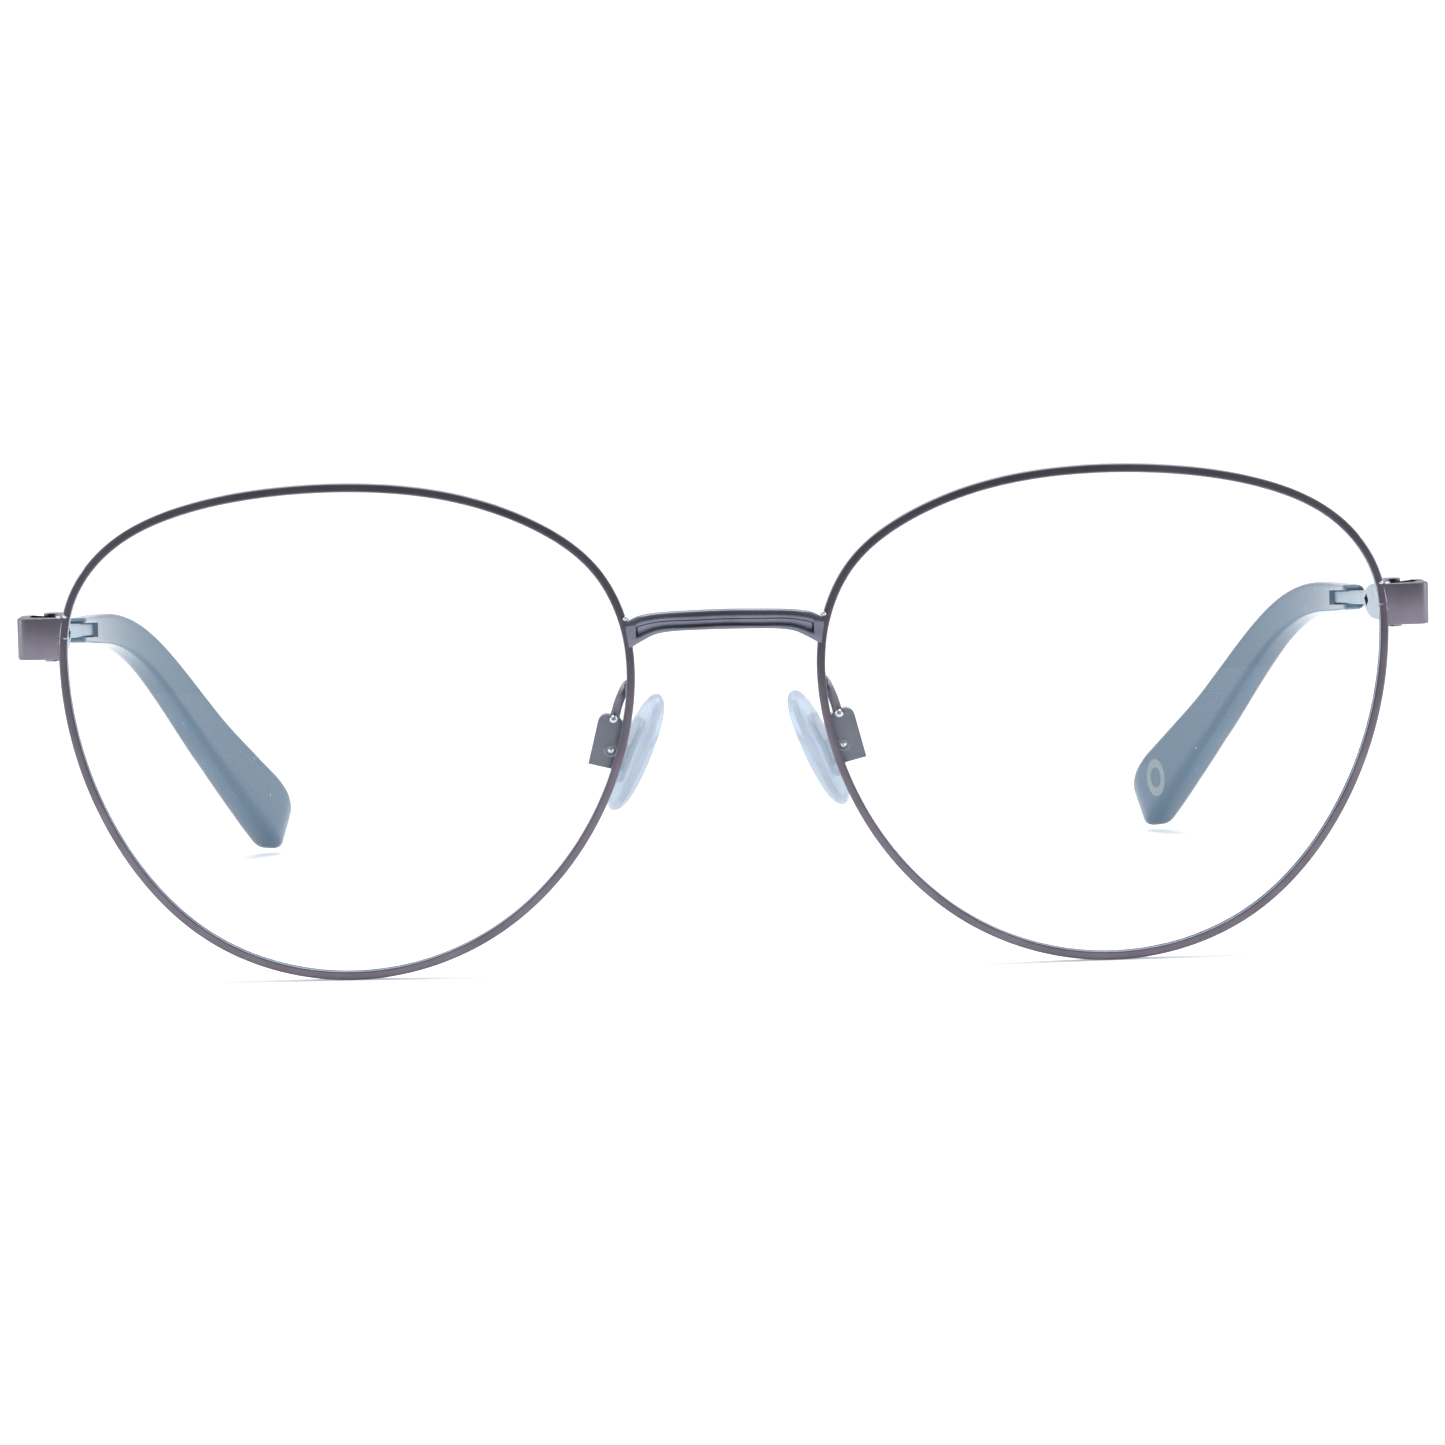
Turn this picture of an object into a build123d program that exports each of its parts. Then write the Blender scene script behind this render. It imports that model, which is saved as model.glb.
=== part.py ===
"""Round wire eyeglasses with folding temples, acetate tips and screw-on nose pads.

X runs across the face, Y runs back from the lenses to the ears, Z is up. The frame stands on the
bottoms of its rims and the ends of its temple tips, at z = 0. Left is the wearer's left, at +X.
"""

import os

from build123d import *

os.makedirs("parts", exist_ok=True)

# Front
FRONT_Y = -68.22  # foremost plane of the lenses; depths below are measured back from it
LIFT = 0.4  # heights below are from the middle of the rim wire where it touches down
LENS_X = 37.3
LENS_Z = 24.13
BASE_RADIUS = 125.0
BASE_X = 28.0
BASE_Z = 24.4
RIM_OUT = 0.43
RIM_IN = -0.42
RIM_DEPTH = 1.8
SPLIT_Z = 33.85
SPLIT_GAP = 0.12
LENS_FRONT = 0.35
LENS_BACK = 1.45

# Middle line of the rim wire about the lens centre, from the temple side upwards
RIM_LINE = (
    (27.0, 0.0),
    (27.9, 7.0),
    (27.1, 13.2),
    (23.4, 18.3),
    (15.5, 22.2),
    (6.4, 23.8),
    (-2.1, 24.0),
    (-10.7, 22.9),
    (-18.7, 20.0),
    (-24.7, 15.4),
    (-27.6, 9.0),
    (-27.4, 0.0),
    (-23.1, -10.8),
    (-14.0, -20.0),
    (0.0, -24.1),
    (14.1, -20.1),
    (22.8, -10.6),
)

# Corner of the front
END_BOTTOM = 31.75
END_TOP = 35.9
END_BACK = 11.3
BLOCK_FRONT = 7.2
BLOCK_BACK = 9.3
BLOCK_OUTER = 67.2
RIM_SCREW = (66.45, 8.3)
HINGE_X = 66.4
HINGE_BACK = 11.6
KNUCKLE = 1.05
HINGE_BOTTOM = 32.05
HINGE_TOP = 35.65
MIDDLE_BOTTOM = 33.3
MIDDLE_TOP = 34.4
HINGE_PIN = 0.6

# Nose pads
PAD_SCREW = (11.5, 7.4, 21.45)
PAD_CENTRE = (9.15, 8.3, 21.0)
BOX_TILT = 14.3
PAD_LENGTH = 12.6
PAD_WIDTH = 7.4
PAD_THICK = 2.3

# Temples
STRIP_THICK = 1.05
STRIP_HEIGHT = 1.42
TEMPLE_FRONT = 11.42
TIP_START = 70.0
NOTCH_END = 79.5


def at(x, back, z):
    return (x, FRONT_Y + back, z)


with BuildLine() as rim_middle:
    Spline(*[(LENS_X + x, LENS_Z + z) for x, z in RIM_LINE], periodic=True)


def lens_outline(grow):
    """The rim's middle line moved outwards by grow, as a smooth closed region."""
    stations = [(rim_middle.line @ (i / 28), rim_middle.line % (i / 28)) for i in range(28)]
    with BuildSketch(Plane.XZ.offset(80)) as region:
        with BuildLine():
            Spline(*[(p.X + grow * t.Y, p.Y - grow * t.X) for p, t in stations], periodic=True)
        make_face()
    return region.sketch


def prism(grow):
    region = lens_outline(grow)
    with BuildPart() as block:
        extrude(region, amount=-160)
    return block.part


def shell(grow, front, back):
    """The outline as a dished plate, between two depths behind the base sphere."""
    block = prism(grow)
    with BuildPart() as plate:
        add(block)
        with Locations(at(BASE_X, BASE_RADIUS, BASE_Z)):
            Sphere(BASE_RADIUS - front, mode=Mode.INTERSECT)
            Sphere(BASE_RADIUS - back, mode=Mode.SUBTRACT)
    return plate.part


OUTER_PRISM = prism(RIM_OUT)
INNER_PRISM = prism(RIM_IN)
RIM_SHELL = shell(RIM_OUT, 0, RIM_DEPTH)
GROOVE = shell(-0.07, 0.58, 1.22)
LENS_BODY = shell(RIM_IN - 0.04, LENS_FRONT, LENS_BACK)
LENS_TONGUE = shell(-0.12, 0.62, 1.18)

# Rim: flat wire with a groove inside, split behind the end piece
with BuildPart() as rim_left:
    add(RIM_SHELL)
    add(INNER_PRISM, mode=Mode.SUBTRACT)
    add(GROOVE, mode=Mode.SUBTRACT)
    with Locations(at(66, 7, SPLIT_Z)):
        Box(6, 8, SPLIT_GAP, mode=Mode.SUBTRACT)
rim_left.part.label = "rim_left"

# Lens: dished plate with a tongue round its edge
with BuildPart() as lens_left:
    add(LENS_BODY)
    add(LENS_TONGUE)
lens_left.part.label = "lens_left"

# Bridge: bar bowed forward, with a long shallow pocket pressed in its front. Each edge is given
# from the middle outwards.
BRIDGE_TOP = ((0, 35.47), (4.2, 35.37), (6.8, 35.21), (7.9, 35.05), (8.8, 34.79), (9.6, 34.37), (10.4, 33.9))
BRIDGE_UNDER = (
    (0, 33.51),
    (4.0, 33.45),
    (5.7, 33.33),
    (7.1, 33.0),
    (7.9, 32.59),
    (8.8, 32.08),
    (9.57, 31.58),
    (10.4, 31.1),
)
POCKET_TOP = ((0, 34.59), (3.5, 34.52), (7.0, 34.33), (8.75, 33.91))
POCKET_UNDER = ((0, 33.91), (4.0, 33.8), (7.2, 33.48), (8.75, 32.8))


def mirrored(half):
    """The points of a whole edge, from its right-hand end to its left-hand end."""
    return [*reversed(half), *[(-x, z) for x, z in half[1:]]]


with BuildPart() as bridge:
    with BuildSketch(Plane.XZ):
        with BuildLine():
            Spline(*reversed(mirrored(BRIDGE_TOP)))
            Line(BRIDGE_TOP[-1], BRIDGE_UNDER[-1])
            Spline(*mirrored(BRIDGE_UNDER))
            Line((-BRIDGE_UNDER[-1][0], BRIDGE_UNDER[-1][1]), (-BRIDGE_TOP[-1][0], BRIDGE_TOP[-1][1]))
        make_face()
    extrude(amount=80, both=True)
    with BuildSketch(Plane.XY):
        with BuildLine():
            ThreePointArc(at(-10.6, 1.95, 0)[:2], at(0, 0.25, 0)[:2], at(10.6, 1.95, 0)[:2])
            Line(at(10.6, 1.95, 0)[:2], at(10.6, 3.45, 0)[:2])
            ThreePointArc(at(10.6, 3.45, 0)[:2], at(0, 1.75, 0)[:2], at(-10.6, 3.45, 0)[:2])
            Line(at(-10.6, 3.45, 0)[:2], at(-10.6, 1.95, 0)[:2])
        make_face()
    extrude(amount=60, mode=Mode.INTERSECT)
    add(OUTER_PRISM, mode=Mode.SUBTRACT)
    mirror(OUTER_PRISM, about=Plane.YZ, mode=Mode.SUBTRACT)
    with BuildSketch(Plane.XZ.offset(-FRONT_Y)):
        with BuildLine():
            Spline(*reversed(mirrored(POCKET_TOP)))
            Line(POCKET_TOP[-1], POCKET_UNDER[-1])
            Spline(*mirrored(POCKET_UNDER))
            Line((-POCKET_UNDER[-1][0], POCKET_UNDER[-1][1]), (-POCKET_TOP[-1][0], POCKET_TOP[-1][1]))
        make_face()
    extrude(amount=-0.62, mode=Mode.SUBTRACT)
bridge.part.label = "bridge"

# End piece: plate bent round the corner, brazed on the outside of the rim
with BuildPart() as end_piece_left:
    with BuildSketch(Plane.XY.offset(END_BOTTOM)):
        with BuildLine() as plan:
            Polyline(
                at(64.6, 6.0, 0)[:2],
                at(69.8, 6.75, 0)[:2],
                at(69.57, END_BACK, 0)[:2],
                at(68.3, END_BACK, 0)[:2],
                at(68.35, 7.75, 0)[:2],
                at(64.6, 7.1, 0)[:2],
                close=True,
            )
        make_face()
        fillet(plan.vertices().sort_by(Axis.X)[-1], radius=1.2)
    extrude(amount=END_TOP - END_BOTTOM)
    fillet(end_piece_left.edges().filter_by(Axis.Z, reverse=True).sort_by(Axis.Y)[:2], radius=0.22)
    add(OUTER_PRISM, mode=Mode.SUBTRACT)
end_piece_left.part.label = "end_piece_left"


def closing_block(bottom, top, hole):
    with BuildSketch(Plane.XY.offset(bottom)) as plan:
        with Locations(at((64 + BLOCK_OUTER) / 2, (BLOCK_FRONT + BLOCK_BACK) / 2, 0)[:2]):
            RectangleRounded(BLOCK_OUTER - 64, BLOCK_BACK - BLOCK_FRONT, 0.3)
        with Locations(at(*RIM_SCREW, 0)[:2]):
            Circle(hole, mode=Mode.SUBTRACT)
    extrude(plan.sketch, amount=top - bottom)
    add(OUTER_PRISM, mode=Mode.SUBTRACT)
    add(end_piece_left.part, mode=Mode.SUBTRACT)


# Closing blocks: one brazed on each end of the split rim
with BuildPart() as closing_block_upper_left:
    closing_block(SPLIT_Z + SPLIT_GAP / 2, 35.75, 0.41)
closing_block_upper_left.part.label = "closing_block_upper_left"

with BuildPart() as closing_block_lower_left:
    closing_block(31.9, SPLIT_Z - SPLIT_GAP / 2, 0.45)
closing_block_lower_left.part.label = "closing_block_lower_left"

# Rim screw: from below, slotted head
with BuildPart() as rim_screw_left:
    with Locations(at(*RIM_SCREW, 31.9)):
        Cylinder(0.4, 3.7, align=(Align.CENTER, Align.CENTER, Align.MIN))
        Cylinder(0.68, 0.4, align=(Align.CENTER, Align.CENTER, Align.MAX))
    with Locations(at(*RIM_SCREW, 31.5)):
        Box(2, 0.22, 0.36, mode=Mode.SUBTRACT)
rim_screw_left.part.label = "rim_screw_left"


def hinge_plan(points, bottom, top):
    with BuildSketch(Plane.XY.offset(bottom)) as plan:
        with BuildLine():
            Polyline(*[at(x, back, 0)[:2] for x, back in points], close=True)
        make_face()
    extrude(plan.sketch, amount=top - bottom)


def knuckle(bottom, top):
    with Locations(at(HINGE_X, HINGE_BACK, bottom)):
        Cylinder(KNUCKLE, top - bottom, align=(Align.CENTER, Align.CENTER, Align.MIN))


FRONT_ARM = ((67.9, 8.6), (67.9, 10.95), (67.1, 10.95), (66.4, 11.6), (65.38, 11.4), (67.3, 9.4))
TEMPLE_ARM = ((67.9, 11.5), (67.9, 14.2), (67.5, 14.2), (65.38, 11.8), (66.4, 11.6), (67.3, 11.5))

# Hinge on the front: leaf brazed inside the end piece, knuckles above and below
with BuildPart() as hinge_front_left:
    hinge_plan(((68.3, 8.3), (68.3, 10.95), (67.6, 10.95), (67.6, 8.3)), HINGE_BOTTOM, HINGE_TOP)
    for low, high in ((HINGE_BOTTOM, MIDDLE_BOTTOM - 0.05), (MIDDLE_TOP + 0.05, HINGE_TOP)):
        hinge_plan(FRONT_ARM, low, high)
        knuckle(low, high)
    with Locations(at(HINGE_X, HINGE_BACK, 34)):
        Cylinder(HINGE_PIN + 0.02, 6, mode=Mode.SUBTRACT)
hinge_front_left.part.label = "hinge_front_left"

# Hinge screw: head on the upper knuckle, slotted
with BuildPart() as hinge_screw_left:
    with Locations(at(HINGE_X, HINGE_BACK, HINGE_TOP)):
        Cylinder(HINGE_PIN, HINGE_TOP - 31.95, align=(Align.CENTER, Align.CENTER, Align.MAX))
        Cylinder(0.95, 0.42, align=(Align.CENTER, Align.CENTER, Align.MIN))
    with Locations(at(HINGE_X, HINGE_BACK, HINGE_TOP + 0.42)):
        Box(2.4, 0.26, 0.4, mode=Mode.SUBTRACT)
hinge_screw_left.part.label = "hinge_screw_left"

# Temple from the side: wide at the hinge, then a strip, then the core that bends down in the tip
with BuildPart() as temple_side:
    with BuildSketch(Plane.YZ):
        with BuildLine():
            Line((FRONT_Y + TEMPLE_FRONT, 31.8), (FRONT_Y + TEMPLE_FRONT, 35.88))
            Line((FRONT_Y + TEMPLE_FRONT, 35.88), (FRONT_Y + 26, 34.6))
            Spline(
                (FRONT_Y + 26, 34.6),
                (FRONT_Y + 36, 33.85),
                (FRONT_Y + 41, 33.45),
                (FRONT_Y + 45, 32.95),
                (FRONT_Y + 48.5, 32.35),
                (FRONT_Y + 52, 31.97),
                tangents=((1, -0.088), (1, -0.067)),
            )
            Line((FRONT_Y + 52, 31.97), (FRONT_Y + 52, 30.6))
            Spline(
                (FRONT_Y + 52, 30.6),
                (FRONT_Y + 49.5, 30.62),
                (FRONT_Y + 47.5, 30.4),
                (FRONT_Y + 45, 30.1),
                (FRONT_Y + 41, 29.98),
                (FRONT_Y + 36, 30.15),
                (FRONT_Y + 26, 30.75),
                tangents=((-1, 0.067), (-1, 0.072)),
            )
            Line((FRONT_Y + 26, 30.75), (FRONT_Y + TEMPLE_FRONT, 31.8))
        make_face()
    extrude(amount=80)
    with BuildSketch(Plane.YZ):
        with BuildLine():
            Spline(
                (FRONT_Y + 43.5, 31.85),
                (FRONT_Y + 58, 30.88),
                (FRONT_Y + 70, 30.07),
                (FRONT_Y + 80, 29.4),
                (FRONT_Y + 90, 28.7),
                (FRONT_Y + 100.5, 26.2),
                (FRONT_Y + 108, 22.0),
                (FRONT_Y + 117, 16.0),
                (FRONT_Y + 129.5, 6.4),
            )
        trace(line_width=STRIP_HEIGHT)
    extrude(amount=80)

# Temple: flat strip, bowed in plan
with BuildPart() as temple_left:
    with BuildSketch(Plane.XY):
        with BuildLine():
            Spline(
                at(68.75, TEMPLE_FRONT, 0)[:2],
                at(68.1, 22, 0)[:2],
                at(67.5, 40, 0)[:2],
                at(67.65, 56, 0)[:2],
                at(67.6, 70, 0)[:2],
                at(66.9, 80, 0)[:2],
                at(65.4, 90, 0)[:2],
                at(62.9, 100.5, 0)[:2],
                at(57.3, 117, 0)[:2],
                at(52.4, 129.5, 0)[:2],
            )
        trace(line_width=STRIP_THICK)
    extrude(amount=60)
    add(temple_side.part, mode=Mode.INTERSECT)
temple_left.part.label = "temple_left"

# Hinge on the temple: leaf brazed inside the strip, one knuckle in the middle
with BuildPart() as hinge_temple_left:
    hinge_plan(((69.2, 11.5), (69.2, 15.2), (67.6, 15.2), (67.6, 11.5)), HINGE_BOTTOM, HINGE_TOP - 0.3)
    hinge_plan(TEMPLE_ARM, MIDDLE_BOTTOM, MIDDLE_TOP)
    knuckle(MIDDLE_BOTTOM, MIDDLE_TOP)
    with Locations(at(HINGE_X, HINGE_BACK, 34)):
        Cylinder(HINGE_PIN + 0.05, 6, mode=Mode.SUBTRACT)
    add(temple_left.part, mode=Mode.SUBTRACT)
    with Locations(at(70.2, 13.4, 33.8)):
        Box(3.2, 6, 6, mode=Mode.SUBTRACT)
hinge_temple_left.part.label = "hinge_temple_left"

# Temple tip: bent down and inwards, thicker towards its end
TIP_STATIONS = (
    (0.0, 2.65, 2.35),
    (0.15, 3.1, 2.5),
    (0.30, 3.5, 2.7),
    (0.45, 3.95, 3.0),
    (0.62, 4.6, 3.35),
    (0.80, 5.5, 3.75),
    (0.92, 6.3, 3.95),
    (0.975, 5.6, 3.5),
    (1.0, 4.2, 2.5),
)
with BuildLine() as tip_line:
    Spline(
        at(67.95, TIP_START, 30.07),
        at(67.2, 80, 29.4),
        at(65.65, 90, 28.6),
        at(63.1, 100.5, 25.9),
        at(57.4, 117, 15.7),
        at(50.6, 135.2, 1.45),
    )
with BuildPart() as tip_solid:
    for where, height, thick in TIP_STATIONS:
        heading = tip_line.line % where
        side = heading.cross(Vector(0, 0, 1))
        with BuildSketch(Plane(origin=tip_line.line @ where, x_dir=side, z_dir=heading)):
            RectangleRounded(thick, height, thick * 0.38)
    loft()
    fillet(tip_solid.edges().group_by(Axis.Y)[-1], radius=0.9)
INLAY_AT = 0.905
with BuildPart() as tip_inlay:
    heading = tip_line.line % INLAY_AT
    inward = heading.cross(Vector(0, 0, -1))
    with BuildSketch(Plane(origin=tip_line.line @ INLAY_AT, x_dir=heading, z_dir=inward).offset(1.6)):
        Circle(2.1)
        Circle(1.15, mode=Mode.SUBTRACT)
    extrude(amount=2)
    add(tip_solid.part, mode=Mode.INTERSECT)
tip_inlay.part.label = "tip_inlay"


def hollow_tip(solid):
    """The tip with the channel for the core and the open notch on its inner face."""
    with BuildPart() as tip:
        add(solid)
        add(temple_left.part, mode=Mode.SUBTRACT)
        with BuildSketch(Plane.YZ.offset(64)):
            with BuildLine():
                Line((FRONT_Y + 66, 30.34), (FRONT_Y + NOTCH_END, 29.43))
            trace(line_width=STRIP_HEIGHT)
        extrude(amount=3.4, mode=Mode.SUBTRACT)
    return tip.part


HOLLOW_TIP = hollow_tip(tip_solid.part)
with BuildPart() as temple_tip_left:
    add(HOLLOW_TIP)
    add(tip_inlay.part, mode=Mode.SUBTRACT)
temple_tip_left.part.label = "temple_tip_left"

with BuildPart() as temple_tip_right:
    mirror(HOLLOW_TIP, about=Plane.YZ)
temple_tip_right.part.label = "temple_tip_right"

# Pad arm: bent wire from the back of the rim into the top of the pad box
with BuildPart() as pad_arm_left:
    with BuildLine() as arm_line:
        Spline(
            at(9.58, 3.02, 27.9),
            at(9.7, 4.9, 27.95),
            at(10.2, 6.7, 27.0),
            at(10.85, 7.4, 25.2),
            at(11.05, 7.4, 24.4),
        )
    with BuildSketch(Plane(origin=arm_line.line @ 0, z_dir=arm_line.line % 0)):
        Circle(0.48)
    sweep()
    add(rim_left.part, mode=Mode.SUBTRACT)
pad_arm_left.part.label = "pad_arm_left"

# Pad box: folded sheet, open towards the nose and below
BOX_PLANE = Plane(origin=at(*PAD_SCREW), x_dir=(0.969, 0, 0.247), z_dir=(0, -1, 0))
with BuildPart() as pad_box_left:
    with BuildSketch(BOX_PLANE.offset(-1.1)):
        with Locations((0.6, 0.75)):
            Rectangle(2.5, 5.2)
    extrude(amount=2.2)
    fillet(pad_box_left.edges().filter_by(Axis.Y).sort_by(Axis.Z)[-2:], radius=0.9)
    with BuildSketch(BOX_PLANE.offset(-0.7)):
        with Locations((0.1, 0.15)):
            Rectangle(2.7, 5.6)
    extrude(amount=1.4, mode=Mode.SUBTRACT)
    with BuildSketch(BOX_PLANE.offset(-3)):
        Circle(0.47)
    extrude(amount=6, mode=Mode.SUBTRACT)
    add(pad_arm_left.part, mode=Mode.SUBTRACT)
pad_box_left.part.label = "pad_box_left"

# Pad screw: head at the back
with BuildPart() as pad_screw_left:
    with BuildSketch(BOX_PLANE.offset(-1.1)):
        Circle(0.45)
    extrude(amount=2.3)
    with BuildSketch(BOX_PLANE.offset(-1.45)):
        Circle(0.8)
        Rectangle(2, 0.22, mode=Mode.SUBTRACT)
    extrude(amount=0.35)
pad_screw_left.part.label = "pad_screw_left"

# Pad core: hard plate inside the silicone and the lug that turns on the screw
PAD_PLANE = Plane(origin=at(*PAD_CENTRE), x_dir=(-0.403, 0, 0.915), z_dir=(-0.895, 0.205, -0.394))
PAD_AXIS = Axis((0, 0, 0), (-0.895, 0.205, -0.394))
with BuildPart() as pad_core_left:
    with BuildSketch(PAD_PLANE.offset(-0.85)):
        RectangleRounded(6.6, 3.6, 1.1)
    extrude(amount=0.8)
    with BuildSketch(BOX_PLANE.offset(-0.6)):
        Circle(0.92)
        with Locations(Location((-1.0, -0.1), 8)):
            Rectangle(2.2, 1.84)
    extrude(amount=1.2)
    with BuildSketch(BOX_PLANE.offset(-3)):
        Circle(0.49)
    extrude(amount=6, mode=Mode.SUBTRACT)
pad_core_left.part.label = "pad_core_left"

# Nose pad: clear silicone round the core
with BuildPart() as nose_pad_left:
    with BuildSketch(PAD_PLANE.offset(-PAD_THICK / 2)):
        Ellipse(PAD_LENGTH / 2, PAD_WIDTH / 2)
    extrude(amount=PAD_THICK)
    fillet(nose_pad_left.faces().sort_by(PAD_AXIS)[0].edges(), radius=0.8)
    fillet(nose_pad_left.faces().sort_by(PAD_AXIS)[-1].edges(), radius=1.1)
    add(pad_core_left.part, mode=Mode.SUBTRACT)
nose_pad_left.part.label = "nose_pad_left"

PAIRED = (
    (rim_left, "rim"),
    (lens_left, "lens"),
    (end_piece_left, "end_piece"),
    (closing_block_upper_left, "closing_block_upper"),
    (closing_block_lower_left, "closing_block_lower"),
    (rim_screw_left, "rim_screw"),
    (hinge_front_left, "hinge_front"),
    (hinge_screw_left, "hinge_screw"),
    (hinge_temple_left, "hinge_temple"),
    (temple_left, "temple"),
    (pad_arm_left, "pad_arm"),
    (pad_box_left, "pad_box"),
    (pad_screw_left, "pad_screw"),
    (pad_core_left, "pad_core"),
    (nose_pad_left, "nose_pad"),
)

# The right side is the left side mirrored
for piece, name in PAIRED:
    with BuildPart() as left:
        with Locations((0, 0, LIFT)):
            add(piece.part)
    left.part.label = name + "_left"
    export_step(left.part, "parts/" + name + "_left.step")
    with BuildPart() as right:
        mirror(left.part, about=Plane.YZ)
    right.part.label = name + "_right"
    export_step(right.part, "parts/" + name + "_right.step")

SINGLE = (
    (bridge, "bridge"),
    (tip_inlay, "tip_inlay"),
    (temple_tip_left, "temple_tip_left"),
    (temple_tip_right, "temple_tip_right"),
)
for piece, name in SINGLE:
    with BuildPart() as placed:
        with Locations((0, 0, LIFT)):
            add(piece.part)
    placed.part.label = name
    export_step(placed.part, "parts/" + name + ".step")
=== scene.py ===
"""Round wire eyeglasses with folding temples, acetate tips and clear nose pads.

Lengths are in millimetres until a mesh is made. X runs across the face, Y runs back from the
lenses, Z is up. Left is the wearer's left, at +X; most pieces are drawn for it and mirrored.
Heights of pieces are taken from BASE, a little above the floor that the rims stand on.
"""

import math

import bmesh
import bpy
import numpy as np
from mathutils import Matrix, Vector
from mathutils.bvhtree import BVHTree


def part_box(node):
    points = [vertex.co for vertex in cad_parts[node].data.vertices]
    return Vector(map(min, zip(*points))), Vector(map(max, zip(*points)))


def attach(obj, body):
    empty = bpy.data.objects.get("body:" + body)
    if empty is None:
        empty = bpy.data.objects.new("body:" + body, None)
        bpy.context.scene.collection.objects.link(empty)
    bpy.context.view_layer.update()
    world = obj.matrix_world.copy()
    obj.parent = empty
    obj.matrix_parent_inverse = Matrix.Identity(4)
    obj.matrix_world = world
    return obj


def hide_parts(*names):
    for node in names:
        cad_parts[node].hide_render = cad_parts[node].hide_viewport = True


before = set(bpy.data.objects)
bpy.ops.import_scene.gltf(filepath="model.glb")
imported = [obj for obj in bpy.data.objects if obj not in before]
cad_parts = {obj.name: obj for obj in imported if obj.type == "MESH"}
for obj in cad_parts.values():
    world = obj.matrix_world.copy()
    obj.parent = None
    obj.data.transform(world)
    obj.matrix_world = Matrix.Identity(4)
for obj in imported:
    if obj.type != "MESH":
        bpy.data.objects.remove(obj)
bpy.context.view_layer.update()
MM = 0.001

# Camera: in front of the lenses and a little above them, on a long lens, so that the temples
# are seen through the rims. FRONT is the plane that the domes of the lenses touch.
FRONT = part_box("lens_left")[0].y / MM - 0.35
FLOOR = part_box("rim_left")[0].z / MM
LOOK_AT = Vector((0, FRONT, FLOOR + 24.9))
DISTANCE = 850.0
RISE = math.radians(4.8)
SWING = math.radians(-0.8)
TILT = math.radians(1.44)

level = math.cos(RISE)
towards = Vector((math.sin(SWING) * level, -math.cos(SWING) * level, math.sin(RISE)))
across = (-towards).cross(Vector((0, 0, 1))).normalized()
upwards = across.cross(-towards)
tilted_across = across * math.cos(TILT) - upwards * math.sin(TILT)
tilted_up = across * math.sin(TILT) + upwards * math.cos(TILT)
stand = Matrix((tilted_across, tilted_up, towards)).transposed().to_4x4()
stand.translation = (LOOK_AT + towards * DISTANCE) * MM
camera = bpy.data.objects.new("camera", bpy.data.cameras.new("camera"))
camera.data.lens = 216.0
camera.data.sensor_width = 36.0
camera.data.shift_x = -0.0034
camera.data.shift_y = -0.001
camera.data.clip_start = 0.05
camera.data.clip_end = 50
camera.matrix_world = stand
bpy.context.scene.collection.objects.link(camera)
bpy.context.scene.camera = camera

# Light and floor: a pale sweep under and behind the frame, a big soft light above the lenses
# and one at each side, so that metal edges catch a bright line.
world = bpy.data.worlds.new("studio")
bpy.context.scene.world = world
world.use_nodes = True
sky, sky_links = world.node_tree.nodes, world.node_tree.links
sky["Background"].inputs["Color"].default_value = (0.96, 0.98, 1.0, 1)
sky_place = sky.new("ShaderNodeTexCoord")
sky_axes = sky.new("ShaderNodeSeparateXYZ")
sky_shade = sky.new("ShaderNodeMapRange")
sky_shade.inputs["From Min"].default_value = -1.0
sky_shade.inputs["From Max"].default_value = 0.1
sky_shade.inputs["To Min"].default_value = 0.25
sky_shade.inputs["To Max"].default_value = 0.95
sky_links.new(sky_place.outputs["Generated"], sky_axes.inputs["Vector"])
sky_links.new(sky_axes.outputs["Y"], sky_shade.inputs["Value"])
sky_links.new(sky_shade.outputs["Result"], sky["Background"].inputs["Strength"])
bpy.context.scene.view_settings.view_transform = "Standard"


def soft_light(name, place, aim, size, power, colour):
    lamp = bpy.data.lights.new(name, "AREA")
    lamp.shape = "RECTANGLE"
    lamp.size, lamp.size_y = size
    lamp.energy = power
    lamp.color = colour
    holder = bpy.data.objects.new(name, lamp)
    holder.location = place
    holder.rotation_euler = (Vector(aim) - Vector(place)).to_track_quat("-Z", "Y").to_euler()
    bpy.context.scene.collection.objects.link(holder)


soft_light("overhead", (0, 0.1, 0.8), (0, 0.05, 0), (0.8, 0.4), 3.5, (1, 1, 1))
for side, hand in ((1, "left"), (-1, "right")):
    place = (side * 0.8, -0.1, 0.25)
    soft_light("side_" + hand, place, (0, 0, 0.02), (0.2, 0.5), 1.3, (0.93, 0.97, 1))

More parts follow.
